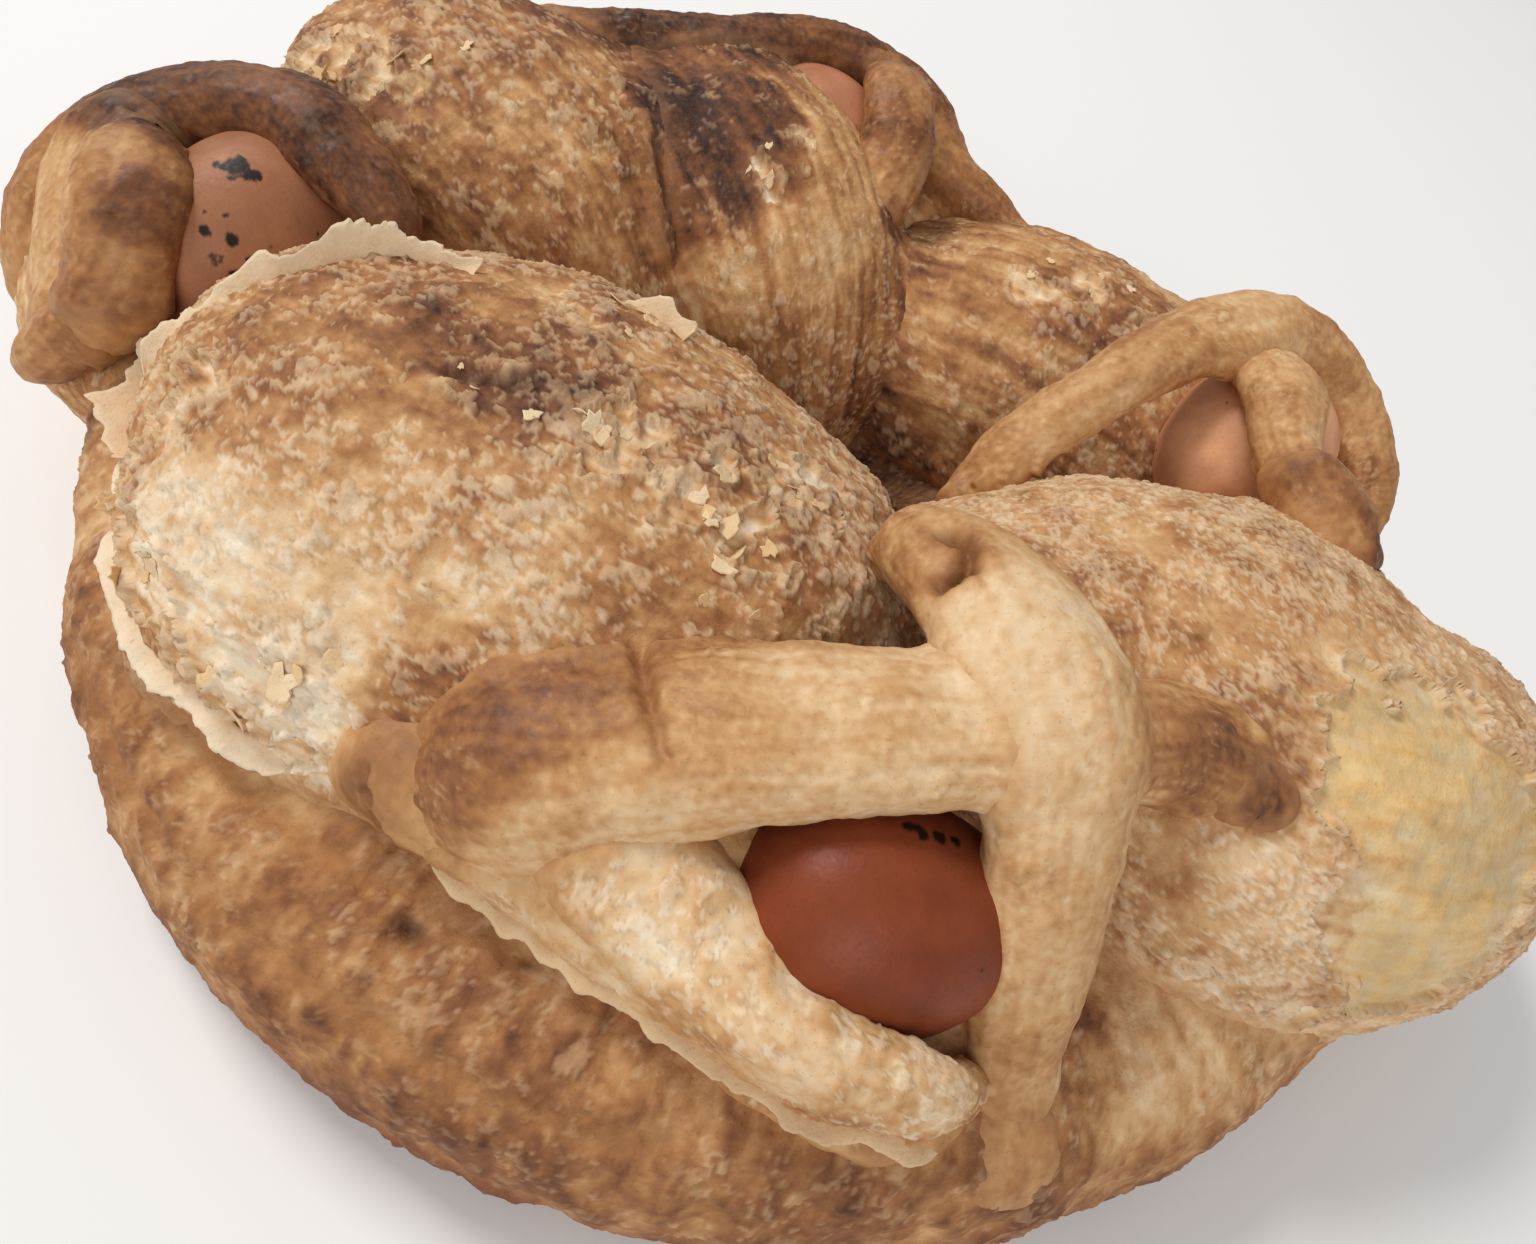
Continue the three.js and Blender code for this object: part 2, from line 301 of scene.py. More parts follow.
NESTS = {
    "left": Dough([
        [-128, 26, 40, 30, 30], [-160, 8, 40, 38, 28], [-180, -20, 36, 28, 26],
        [-166, -50, 32, 20, 20]]),
    "front": Dough([
        [-46, -108, 46, 20, 18], [-14, -116, 56, 24, 18], [16, -120, 54, 26, 16],
        [60, -124, 44, 26, 16]]),
    "back": Dough([
        [-52, 136, 34, 28, 28], [-14, 136, 38, 28, 30], [30, 126, 34, 28, 28]]),
}
FINE_LUMP = 0.35 * LUMP
BAND_LUMP = 0.4 * LUMP
STRIPS = {
    "front_cradle": Dough([
        [-50, -124, 56, 10, 9], [-26, -129, 58, 11, 10], [0, -135, 57, 11, 10],
        [22, -141, 52, 10, 10], [44, -144, 44, 9, 9], [64, -137, 38, 8, 8]], 3, FINE_LUMP),
    "front_level": Dough([
        [-46, -122, 60, 18, 14], [-32, -120, 68, 22, 17], [-12, -114, 77, 18, 13],
        [12, -106, 86, 17, 11], [36, -98, 91, 15, 10], [58, -89, 90, 13, 10],
        [82, -77, 84, 12, 11], [106, -70, 74, 10, 10]], 4, BAND_LUMP),
    "front_steep": Dough([
        [20, -50, 84, 13, 12], [32, -66, 95, 15, 10], [47, -84, 99, 16, 9],
        [55, -99, 94, 14, 9], [61, -114, 76, 12, 9], [67, -127, 54, 11, 9],
        [73, -136, 38, 10, 9]], 4, BAND_LUMP),
    "front_tip": Dough([
        [88, -80, 82, 7, 6], [97, -80, 83, 6, 5], [101, -83, 80, 4, 4]], 3, FINE_LUMP),
    "front_knob": Dough([
        [66, -132, 44, 10, 8], [74, -140, 34, 12, 10], [80, -146, 25, 8, 8]], 2, FINE_LUMP),
    "right_long": Dough([
        [32, -1, 57, 7, 6], [41, 8, 70, 9, 7], [54, 20, 83, 9, 8],
        [74, 44, 94, 10, 7], [98, 66, 97, 10, 8], [122, 68, 88, 9, 9],
        [140, 52, 74, 9, 9], [144, 34, 60, 9, 9]], 3, FINE_LUMP),
    "right_short": Dough([
        [98, 62, 90, 11, 7], [99, 50, 93, 12, 7], [101, 37, 95, 11, 7],
        [103, 21, 92, 8, 7], [108, 11, 89, 6, 6], [121, 10, 83, 6, 6]], 3, FINE_LUMP),
    "back_long": Dough([
        [-136, 96, 84, 9, 8], [-106, 110, 88, 9, 8], [-76, 126, 90, 9, 8],
        [-46, 146, 92, 9, 8], [-16, 152, 82, 10, 9], [4, 136, 72, 10, 9],
        [24, 132, 66, 9, 8], [42, 128, 60, 8, 7]], 3, FINE_LUMP),
    "back_short": Dough([
        [-28, 144, 92, 10, 7], [-18, 120, 94, 11, 8], [-12, 102, 84, 10, 8],
        [-10, 88, 74, 8, 8]], 3, FINE_LUMP),
    "left_arch": Dough([
        [-198, -30, 34, 13, 12], [-198, -16, 58, 13, 11], [-184, 6, 76, 13, 10],
        [-154, 12, 86, 12, 9], [-132, 4, 84, 12, 9], [-112, -6, 76, 11, 9]], 3, FINE_LUMP),
    "front_collar": Dough([
        [-38, -121, 64, 8, 8], [-22, -126, 65, 10, 9], [-5, -131, 65, 11, 9],
        [9, -138, 65, 10, 9], [23, -146, 65, 9, 9], [37, -148, 63, 8, 9],
        [51, -146, 59, 7, 9], [61, -140, 50, 5, 6]],
        3, FINE_LUMP),
    "front_root": Dough([
        [-66, -116, 50, 7, 7], [-54, -121, 57, 9, 9], [-43, -126, 60, 9, 9],
        [-30, -130, 58, 8, 8]], 3, FINE_LUMP),
    "left_fold": Dough([
        [-174, -10, 80, 10, 7], [-168, -23, 82, 12, 8], [-164, -33, 78, 12, 8],
        [-163, -41, 68, 11, 9], [-166, -50, 54, 9, 8]], 3, FINE_LUMP),
    "left_nub": Dough([
        [-187, -52, 38, 5, 6], [-178, -54, 46, 7, 7], [-169, -51, 55, 7, 7],
        [-160, -46, 61, 6, 6], [-152, -42, 62, 5, 5]], 2, FINE_LUMP),
    "right_nub": Dough([
        [103, 16, 88, 6, 6], [109, 7, 91, 8, 7], [115, 2, 91, 9, 7],
        [121, -2, 88, 7, 6], [125, -2, 84, 4, 4]], 2, BAND_LUMP),
    "left_drop": Dough([
        [-182, 6, 76, 11, 8], [-182, -14, 72, 12, 9], [-178, -32, 60, 12, 10],
        [-170, -48, 48, 12, 10]],
        3, FINE_LUMP),
}
SOFTER = (  # kneaded into their neighbours
    "front_collar", "front_cradle", "front_root", "right_long", "left_fold", "left_drop",
    "right_nub",
)
EGGS = {
    "egg_front": ((37, -120, 62), (-1, -0.35, 0.1)),
    "egg_right": ((105, 46, 70), (0.6, 1, 0.1)),
    "egg_back": ((-38, 126, 70), (-1, 0.3, 0.1)),
    "egg_left": ((-152, -10, 64), (0.2, 1, 0.1)),
}


def egg_skin(centre, axis, rows, columns):
    """Points of an egg's shell, pole to pole."""
    y = np.cos(np.linspace(np.pi, 0, rows))[:, None]
    a = np.linspace(0, 2 * np.pi, columns, endpoint=False)[None]
    r = np.sqrt(np.maximum(1 - y * y, 0))
    fat = (1 + EGG_TAPER * y) * EGG_WIDTH / 2
    along = y * EGG_LENGTH / 2 + 0 * a
    local = np.stack([r * np.cos(a) * fat, along, r * np.sin(a) * fat], axis=-1)
    turn = np.array(Vector((0, 1, 0)).rotation_difference(Vector(axis)).to_matrix())
    return local @ turn.T + np.array(centre, float)


# where the layout's own origin lies in the finished part
_plain = egg_skin(*EGGS["egg_front"], 90, 90).reshape(-1, 3)
_low, _high = (np.array(c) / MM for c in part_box("egg_front"))
SHIFT = (_low + _high) / 2 - (_plain.min(0) + _plain.max(0)) / 2
SHIFT[2] = 0.0

# ---- colours of baked dough ----
BAKE = np.array([0, 0.15, 0.35, 0.5, 0.65, 0.8, 0.92, 1.0])
SHADES = np.array([
    [243, 231, 211], [235, 214, 182], [221, 186, 142], [198, 152, 102], [166, 115, 70],
    [128, 81, 50], [93, 57, 37], [58, 35, 26]]) / 255.0
CHALK = np.array([228, 208, 184]) / 255.0
YELLOW = np.array([224, 188, 120]) / 255.0


def linear(rgb):
    rgb = np.asarray(rgb, float)
    return np.where(rgb <= 0.04045, rgb / 12.92, ((rgb + 0.055) / 1.055) ** 2.4)


def shade(bake):
    return np.column_stack([np.interp(bake, BAKE, SHADES[:, k]) for k in range(3)])


PLAIN_WEIGHT = 0.18  # of a body's own bake beside the places in TOAST
BURIED = 2.5  # how deep in other dough, in mm, a skin is left out
POLE = 2e-5  # where along a body its first ring of points lies
END_FADE = 4.0  # mm over which the crust's relief fades at a body's two ends

# ---- places on the finished part: x, y, z, reach in mm ----
TOAST = [  # and how far baked, from 0, raw, to 1, burnt
    (-68, -58, 98, 18, 0.92), (-51, -47, 98, 15, 0.9), (-56, -62, 98, 14, 0.92),
    (-40, -52, 98, 12, 0.8), (-90, -60, 94, 24, 0.66), (-107, -56, 89, 20, 0.6),
    (-81, -42, 96, 20, 0.7), (-57, -29, 96, 22, 0.58), (-38, -32, 97, 22, 0.56),
    (-67, -83, 93, 26, 0.5), (-64, -108, 80, 18, 0.3), (-36, -93, 90, 14, 0.44),
    (-34, -103, 88, 12, 0.3), (-18, -94, 88, 14, 0.6), (-60, -121, 66, 12, 0.1),
    (-73, -115, 71, 13, 0.16), (-85, -106, 77, 14, 0.2), (-96, -101, 77, 13, 0.16),
    (19, -58, 84, 10, 0.5), (-5, -86, 89, 12, 0.64), (-16, -58, 94, 16, 0.68),
    (4, -72, 91, 10, 0.6), (75, -56, 88, 18, 0.58), (67, -38, 90, 15, 0.5),
    (112, -34, 96, 24, 0.52), (88, -91, 68, 12, 0.6), (92, -97, 52, 11, 0.58),
    (110, -111, 46, 16, 0.44), (127, -104, 42, 14, 0.42), (125, -96, 64, 14, 0.36),
    (108, -84, 82, 16, 0.4), (96, -88, 74, 9, 0.5), (-149, 40, 81, 24, 0.68),
    (-148, 5, 90, 16, 0.7), (-117, 27, 82, 20, 0.66), (-102, 42, 92, 22, 0.56),
    (-93, 23, 74, 16, 0.66), (-61, 75, 88, 17, 0.97), (-64, 53, 82, 10, 0.8),
    (-50, 85, 93, 15, 0.97), (-45, 60, 81, 11, 0.92), (-57, 46, 73, 9, 0.84),
    (-72, 84, 88, 12, 0.9), (-44, 74, 90, 12, 0.95), (-24, 50, 75, 13, 0.42),
    (-36, 42, 62, 10, 0.44), (-14, 62, 82, 12, 0.42), (-20, 37, 48, 12, 0.6),
    (19, 71, 67, 18, 0.64), (33, 93, 78, 18, 0.6), (58, 76, 81, 18, 0.6), (34, 51, 59, 12, 0.56),
    (18, 52, 43, 14, 0.76), (26, 50, 33, 13, 0.84), (-38, -120, 78, 20, 0.75),
    (-24, -114, 87, 14, 0.75), (-14, -108, 88, 10, 0.72), (6, -112, 93, 16, 0.44),
    (36, -101, 98, 18, 0.36), (93, -82, 91, 12, 0.74), (106, -76, 84, 9, 0.9),
    (33, -67, 102, 9, 0.6), (47, -86, 105, 18, 0.24), (60, -102, 98, 14, 0.3),
    (67, -121, 76, 14, 0.46), (75, -133, 56, 11, 0.52), (82, -141, 36, 13, 0.66),
    (-172, 10, 84, 24, 0.9), (-146, 16, 92, 26, 0.92), (-120, 2, 86, 18, 0.88),
    (-193, -18, 64, 16, 0.6), (-172, -37, 67, 16, 0.4), (-180, -24, 74, 12, 0.36),
    (-171, -46, 44, 14, 0.5), (-188, -30, 50, 16, 0.42), (58, 14, 84, 22, 0.46),
    (96, 60, 104, 22, 0.38), (130, 60, 92, 18, 0.46), (151, 40, 72, 18, 0.54),
    (114, 30, 96, 16, 0.46), (122, 12, 90, 10, 0.6), (128, 12, 84, 8, 0.7),
    (-105, 110, 90, 26, 0.82), (-72, 124, 96, 24, 0.86), (-40, 148, 96, 22, 0.8),
    (-8, 150, 84, 18, 0.7), (14, 136, 76, 18, 0.62), (40, 126, 68, 16, 0.62),
    (-12, 120, 100, 14, 0.58), (-5, 98, 84, 12, 0.56), (1, 86, 78, 7, 0.88),
    (-170, -50, 50, 12, 0.62), (-158, -44, 60, 8, 0.66), (-152, -30, 80, 9, 0.82),
    (-164, -24, 84, 8, 0.5), (-158, -42, 66, 9, 0.74), (117, 10, 96, 9, 0.62),
    (124, 5, 93, 8, 0.74), (130, 1, 87, 7, 0.95), (14, -138, 72, 10, 0.22),
    (32, -148, 74, 14, 0.26), (56, -144, 68, 12, 0.3), (0, -130, 68, 14, 0.26),
    (-30, -130, 60, 10, 0.5), (24, -144, 62, 12, 0.52), (0, -134, 62, 9, 0.5),
    (46, -148, 62, 10, 0.5), (60, -142, 50, 12, 0.4), (-12, -136, 60, 16, 0.34),
    (103, -80, 88, 7, 0.97), (80, -84, 96, 10, 0.6), (-44, -126, 66, 10, 0.7),
    (-14, -126, 74, 10, 0.5), (-66, 94, 93, 12, 0.9), (-34, 70, 89, 9, 0.82),
    (-40, 60, 82, 9, 0.82), (-62, 56, 82, 6, 0.92), (-96, -128, 22, 30, 0.68),
    (-20, -158, 20, 34, 0.7), (60, -154, 20, 34, 0.68), (-140, -70, 30, 26, 0.5),
    (-20, -148, 46, 16, 0.52), (-80, -134, 44, 20, 0.5),
]
TORN = [  # where the top layers have lifted off
    (-163, -43, 46, 9), (-149, -60, 41, 10), (-133, -77, 50, 9), (-115, -93, 65, 11),
    (-105, -103, 66, 12), (-92, -112, 66, 12), (-80, -120, 62, 12), (-66, -125, 58, 12),
    (-50, -127, 54, 10), (104, -99, 58, 9), (117, -105, 50, 11), (132, -104, 46, 10),
    (96, -97, 48, 8), (-28, -62, 97, 13), (-14, -66, 95, 12), (-2, -70, 91, 11),
    (5, -52, 89, 12), (-110, -80, 80, 12), (127, -63, 89, 16), (140, -56, 88, 18),
    (157, -61, 78, 18), (139, -76, 79, 19), (129, -87, 72, 14), (157, -73, 70, 18),
    (146, -88, 62, 15), (150, -46, 84, 14), (-152, 51, 86, 13), (-131, 46, 91, 13),
    (-165, 53, 78, 12), (-118, 52, 95, 11), (-36, 65, 87, 8), (-30, 79, 91, 9), (46, 81, 80, 11),
    (62, 86, 82, 12), (80, 70, 84, 10), (-70, -118, 68, 10),
]
GROOVES = [  # line, half width, depth, bake painted inside (darker: partly browner crust, partly painted shade), and the only strip it is on
    ([(-13, -95, 82), (-12, -98, 85), (-6, -111, 90), (0, -119, 88), (5, -124, 74)], 1.6, 3.6,
     0.7, "front_level"),
    ([(96, -92, 70), (100, -97, 59), (105, -99, 55), (112, -103, 47)], 0.7, 1.2, 0.74),
    ([(105, -99, 55), (108, -97, 62), (112, -93, 68)], 0.6, 0.9, 0.74),
    ([(-33, -143, 48), (-29, -144, 46)], 2.0, 3.4, 0.98),
    ([(-73, 67, 90), (-64, 53, 82), (-55, 41, 68)], 3.0, -1.6, 0.6),
    ([(-67, 63, 86), (-59, 53, 78), (-52, 47, 68)], 2.0, 1.4, 0.92),
    ([(-124, -108, 33), (-97, -130, 38), (-73, -144, 38), (-50, -153, 39), (-27, -159, 39),
     (-2, -162, 38), (22, -160, 39)], 3.0, 1.4, 0.66),
    ([(-106, -108, 56), (-90, -120, 49), (-68, -132, 47), (-50, -137, 47), (-32, -138, 47),
     (-12, -142, 47)], 2.4, 1.8, 0.64),
    ([(-64, -62, 98), (-58, -61, 98), (-52, -60, 98)], 2.0, 2.2, 0.94),
    ([(-66, -67, 97), (-63, -67, 97)], 2.0, -2.0, 0.4),
    ([(-55, -57, 98), (-53, -56, 98)], 1.6, -1.6, 0.34),
    ([(92, -92, 94), (97, -80, 96)], 1.0, 1.6, 0.98),
    ([(99, -88, 88), (104, -76, 90)], 0.9, 1.6, 1.0),
    ([(32, -75, 102), (37, -70, 105), (37, -64, 104), (33, -61, 102)], 1.9, 4.4, 0.86,
     "front_steep"),
]
SMOOTH_PEEL = [
    (127, -63, 89, 24), (142, -60, 86, 26), (150, -74, 75, 28), (146, -88, 62, 20),
    (160, -60, 78, 24),
]


def near(p, place, reach, wobble):
    """1 at a place, fading to 0 at its reach, with an uneven edge."""
    d = np.linalg.norm(p - np.array(place[:3], float), axis=1) / reach
    return smooth(1.25, 0.35, d * (1 + 0.4 * wobble))


def coarse_depth(bodies, grid):
    """Least depth outside any of the bodies over a grid, worked out on every third point."""
    rows, columns = grid.shape[:2]
    ri = np.unique(np.append(np.arange(0, rows, 3), rows - 1))
    ci = np.unique(np.append(np.arange(0, columns, 3), columns - 1))
    few = grid[np.ix_(ri, ci)].reshape(-1, 3) - SHIFT
    d = np.full(len(few), 99.0)
    for body in bodies:
        d = np.minimum(d, body.depth(few))
    d = d.reshape(len(ri), len(ci))
    d = np.array([np.interp(np.arange(columns), ci, row) for row in d])
    return np.array([np.interp(np.arange(rows), ri, col) for col in d.T]).T


def grid_normals(grid):
    """The way out at each point of a grid whose columns close on themselves."""
    across = np.roll(grid, -1, 1) - np.roll(grid, 1, 1)
    along = np.gradient(grid, axis=0)
    return unit(np.cross(across, along))


def uncovered(outside):
    """The cells of a closed grid that aren't buried in other dough at all four corners."""
    hidden = outside < -BURIED
    beside = np.roll(hidden, -1, 1)
    return ~(hidden[:-1] & hidden[1:] & beside[:-1] & beside[1:])


def even_steps(body, pitch):
    """Parameters that step evenly over the skin from end to end."""
    t = 0.5 - 0.5 * np.cos(np.linspace(0, np.pi, 1500))
    lines = body.surface(t, np.linspace(0, 2 * np.pi, 8, endpoint=False))
    run = np.linalg.norm(np.diff(lines, axis=0), axis=2).mean(1)
    run = np.concatenate([[0], np.cumsum(run)])
    count = max(int(run[-1] / pitch), 12)
    return np.interp(np.linspace(0, run[-1], count + 1), run, t)


def mesh_piece(name, grid, colour, keep, closed, material, node="loaf"):
    """A piece from a grid of points in mm; keep says which cells of the grid are made."""
    rows, columns = grid.shape[:2]
    i, j = np.nonzero(keep)
    k = (j + 1) % columns
    here, below = i * columns, (i + 1) * columns
    quads = np.stack([here + j, here + k, below + k, below + j], axis=1)
    used, quads = np.unique(quads, return_inverse=True)
    quads = quads.reshape(-1, 4)
    mesh = bpy.data.meshes.new(name)
    mesh.vertices.add(len(used))
    mesh.vertices.foreach_set("co", (grid.reshape(-1, 3)[used] * MM).astype(np.float32).ravel())
    mesh.loops.add(4 * len(quads))
    mesh.loops.foreach_set("vertex_index", quads.astype(np.int32).ravel())
    mesh.polygons.add(len(quads))
    mesh.polygons.foreach_set("loop_start", np.arange(0, 4 * len(quads), 4, dtype=np.int32))
    mesh.polygons.foreach_set("use_smooth", np.ones(len(quads), bool))
    uv = mesh.uv_layers.new(name="OFBake")
    u = np.stack([j, j + 1, j + 1, j], axis=1) / max(columns, 1)
    v = np.stack([i, i, i + 1, i + 1], axis=1) / max(rows - 1, 1)
    uv.data.foreach_set("uv", np.stack([u, v], axis=-1).astype(np.float32).ravel())
    tint = mesh.color_attributes.new("crust", "FLOAT_COLOR", "POINT")
    rgba = np.ones((len(used), 4), np.float32)
    rgba[:, :3] = colour.reshape(-1, 3)[used]
    tint.data.foreach_set("color", rgba.ravel())
    mesh.update(calc_edges=True)
    mesh.validate()
    if closed:
        form = bmesh.new()
        form.from_mesh(mesh)
        bmesh.ops.remove_doubles(form, verts=form.verts, dist=0.005 * MM)
        form.to_mesh(mesh)
        form.free()
    piece = bpy.data.objects.new(name, mesh)
    bpy.context.scene.collection.objects.link(piece)
    mesh.materials.append(material)
    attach(piece, "root")
    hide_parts(node)
    return piece


def line_distance(p, line):
    """Distance in mm from points to a polyline."""
    line = np.array(line, float)
    best = np.full(len(p), 1e9)
    for a, b in zip(line[:-1], line[1:]):
        ab = b - a
        t = np.clip((p - a) @ ab / (ab @ ab), 0, 1)
        best = np.minimum(best, np.linalg.norm(p - a - t[:, None] * ab, axis=1))
    return best


def crust(p, s, r, look, crease):
    """Height over the plain skin in mm, and colour, at points p, s along and r around it."""
    seed = look["seed"]
    q = np.column_stack([s, r, np.full(len(s), 37.0 * seed)])
    wobble = fbm(p, 11, 3, seed)
    broad = fbm(p, 30, 2, seed + 1)
    lumps = fbm(p, 8, 3, seed + 2)
    grit = fbm(p, 2.2, 2, seed + 3)
    sand = noise(p, 1.3, seed + 11)
    # wrinkles and streaks follow the pull of the dough
    stretch = np.array([look["pull"][0], look["pull"][1], 10.0])
    drift = 8 * np.column_stack([wobble, broad, 0 * broad])
    pull = fbm((q + drift) / stretch, 1.0, 3, seed + 4)
    folds = (1 - np.abs(pull) * 2.2) * smooth(-0.35, 0.35, noise(p, 17, seed + 14))
    fine_pull = fbm((q + 0.5 * drift) / (stretch * [0.7, 0.36, 1]), 1.0, 2, seed + 5)

    bake = look["bake"]
    weight = np.full(len(p), PLAIN_WEIGHT)
    total = PLAIN_WEIGHT * bake
    for x, y, z, reach, level in TOAST:
        w = near(p, (x, y, z), reach * 1.25, wobble)
        total = total + w * w * level
        weight += w * w
    level = total / weight
    bake = 0.05 + level + 0.16 * broad + 0.24 * lumps * look["patchy"] + 0.1 * grit + 0.05 * sand
    bake += look["streak"] * 0.24 * fine_pull
    bake = np.clip(bake, 0, 1)

    # torn places: the skin is missing in ragged patches, and curls at their edges
    torn = np.zeros(len(p))
    for x, y, z, reach in TORN:
        torn = np.maximum(torn, near(p, (x, y, z), reach * 1.3, wobble))
    peel = np.zeros(len(p))
    for x, y, z, reach in SMOOTH_PEEL:
        peel = np.maximum(peel, near(p, (x, y, z), reach, wobble))
    rag = fbm((q + 0.4 * drift) * [0.8, 1, 1], 8, 5, seed + 6)
    edge = torn + 0.9 * peel - 0.78 + 1.1 * rag + look.get("shred", -0.2)
    gone = smooth(0, 0.06, edge) * (1 - crease)
    lip = np.exp(-((edge + 0.05) / 0.07) ** 2) * (1 - crease)
    deeper = smooth(0.32, 0.4, edge)

    # scales and flecks: little raised blisters of pale dry skin, in clusters
    warp = p + 1.6 * np.column_stack([noise(p, 3, seed + 12), noise(p, 3, seed + 13), wobble])
    size = look["scale"]
    cover = np.clip(look["fleck"] * (1 + 1.7 * broad + 1.6 * wobble), 0, 1)
    far, which = cells(warp * [1, 1, 0.8], size, seed + 8)
    big = smooth(0.56, 0.46, far) * (which < cover)
    rim = big * smooth(0.3, 0.48, far)
    far, which = cells(warp, 0.5 * size, seed + 9)
    small = smooth(0.6, 0.45, far) * (which < 0.9 * cover)
    sway = 5 * np.column_stack([noise(p, 15, seed + 15), noise(p, 15, seed + 16), 0 * broad])
    fleck = fbm((q + sway) / [1.35, 1.0, 1.0], 0.8 * size, 3, seed + 7)
    reach = look.get("patch", 0.34) - 0.34 * cover
    ragged = smooth(reach, reach + 0.08, fleck)
    moat = smooth(reach - 0.16, reach - 0.02, fleck) * (1 - ragged)
    quiet = (1 - gone) * (1 - crease) * (1 - peel) * smooth(0.0, 0.15, cover)
    flecks = np.maximum(np.maximum(0.6 * big + 0.25 * rim, 0.75 * small), 0.7 * ragged) * quiet
    calm = (1 - 0.7 * crease) * (1 - 0.6 * gone)

    height = look["lumpy"] * (1.5 * broad + 1.2 * lumps) + 0.25 * grit * look["rough"]
    height += look["fold"] * (0.9 * folds - 0.3) * calm + look["fold"] * 0.3 * fine_pull * calm
    height += (0.34 * flecks + 0.3 * big * quiet + 0.2 * rim * quiet + 0.07 * sand) * look["rough"]
    height += -0.9 * gone + (0.9 + 0.5 * peel) * lip - 0.7 * deeper * (1 - peel)

    rgb = shade(np.clip(bake + 0.08 * (0.5 - folds) * look["fold"], 0, 1))
    rgb *= 1 - (0.16 * look["white"] * moat * quiet)[:, None]
    pale = shade(np.clip(0.62 * level - 0.22 + 0.1 * grit + 0.1 * sand, 0.02, 1))
    rgb += (pale - rgb) * (look["white"] * flecks)[:, None]
    layer = 0.29 + 0.3 * lumps + 0.3 * (bake - 0.4) + 0.3 * fine_pull + 0.15 * grit - 0.1 * deeper
    inner = shade(np.clip(layer, 0.02, 1))
    golden = YELLOW * (0.9 + 0.3 * lumps + 0.2 * broad + 0.06 * grit)[:, None]
    inner = inner + (golden - inner) * (0.62 * peel)[:, None]
    rgb += (inner - rgb) * (0.9 * gone)[:, None]
    rgb += (shade(np.clip(0.6 * bake - 0.15, 0, 1)) - rgb) * (0.6 * lip)[:, None]
    haze = look["chalk"] * np.clip(0.5 + 0.7 * lumps + 0.6 * broad, 0, 1)
    haze *= smooth(0.75, 0.45, bake) * (1 - peel)
    rgb += (CHALK - rgb) * haze[:, None]
    # where dough meets dough the colour is pulled towards the look's crease level: partly paler,
    # less baked dough, partly painted shade
    rgb += (shade(np.full(len(p), look["crease"])) - rgb) * (0.4 * crease)[:, None]
    for line, width, depth, level, *only in GROOVES:
        if only and only[0] != look.get("name"):
            continue
        d = line_distance(p, line) / width
        if d.min() > 3:
            continue
        cut = np.exp(-((d + 0.35 * grit + 0.3 * lumps) ** 2))
        height -= depth * cut
        # inside a groove the colour goes to its level: partly browner crust, partly painted shade
        # in the recess
        rgb += (shade(np.full(len(p), level)) - rgb) * (0.7 * cut)[:, None]
    return height, linear(np.clip(rgb, 0, 1))


def skin(name, body, look, others, material, pitch):
    """A body's whole skin with its crust, without what is buried in the others."""
    pitch = pitch * FINE
    t = even_steps(body, pitch)
    t[0], t[-1] = POLE, 1 - POLE
    girth = 2 * math.pi * math.sqrt((body.size[:, :2] ** 2).sum(1).max() / 2)
    columns = max(int(girth / pitch), 24)
    angle = np.linspace(-math.pi / 2, 1.5 * math.pi, columns, endpoint=False)
    grid = body.surface(t, angle) + SHIFT
    normal = grid_normals(grid)
    step = np.linalg.norm(np.diff(grid[:, columns // 2], axis=0), axis=1)
    s = np.cumsum(np.append(0, step))
    r = (angle - math.pi / 2) * girth / (2 * math.pi)
    outside = coarse_depth(others, grid)
    crease = smooth(look.get("lap", 5.0), 0.0, outside)
    ss, rr = (a.ravel() for a in np.meshgrid(s, r, indexing="ij"))
    rr = rr * np.repeat(body.section(t)[5], columns)
    height, colour = crust(grid.reshape(-1, 3), ss, rr, look, crease.ravel())
    ends = np.minimum(smooth(0, END_FADE, s), smooth(0, END_FADE, s[-1] - s))[:, None]
    web = look.get("fillet", 1.2) * smooth(look.get("web", 7), 0, outside) ** 2
    grid = grid + normal * (height.reshape(outside.shape) * ends + web)[..., None]
    # what would lie in the floor counts as buried
    outside = np.where(grid[..., 2] < 0.4, -2 * BURIED, outside)
    grid[..., 2] = np.maximum(grid[..., 2], 0.3)
    grid[0], grid[-1] = grid[1].mean(0), grid[-2].mean(0)
    return mesh_piece(name, grid, colour, uncovered(outside), True, material)


# ---- materials ----
# tints laid over the painted colour, 0 to 255
DUST = (104, 96, 82)  # screened
PORES = (170, 150, 130)  # multiplied
WARM = (186, 128, 82)
MOTTLE = (204, 192, 190)  # multiplied


def nodes_of(name):
    material = bpy.data.materials.new(name)
    material.use_nodes = True
    tree = material.node_tree
    tree.nodes.clear()
    out = tree.nodes.new("ShaderNodeOutputMaterial")
    shader = tree.nodes.new("ShaderNodeBsdfPrincipled")
    tree.links.new(shader.outputs["BSDF"], out.inputs["Surface"])
    where = tree.nodes.new("ShaderNodeTexCoord").outputs["Object"]
    return material, tree, shader, where


def grain(tree, where, size, detail=3.0, rough=0.55):
    """Noise with features of a size in mm, as a 0 to 1 socket."""
    node = tree.nodes.new("ShaderNodeTexNoise")
    node.inputs["Scale"].default_value = 1 / (size * MM)
    node.inputs["Detail"].default_value = detail
    node.inputs["Roughness"].default_value = rough
    tree.links.new(where, node.inputs["Vector"])
    return node.outputs["Fac"]


def spread(tree, socket, low, high, to_low, to_high):
    node = tree.nodes.new("ShaderNodeMapRange")
    node.inputs["From Min"].default_value = low
    node.inputs["From Max"].default_value = high
    node.inputs["To Min"].default_value = to_low
    node.inputs["To Max"].default_value = to_high
    tree.links.new(socket, node.inputs["Value"])
    return node.outputs["Result"]


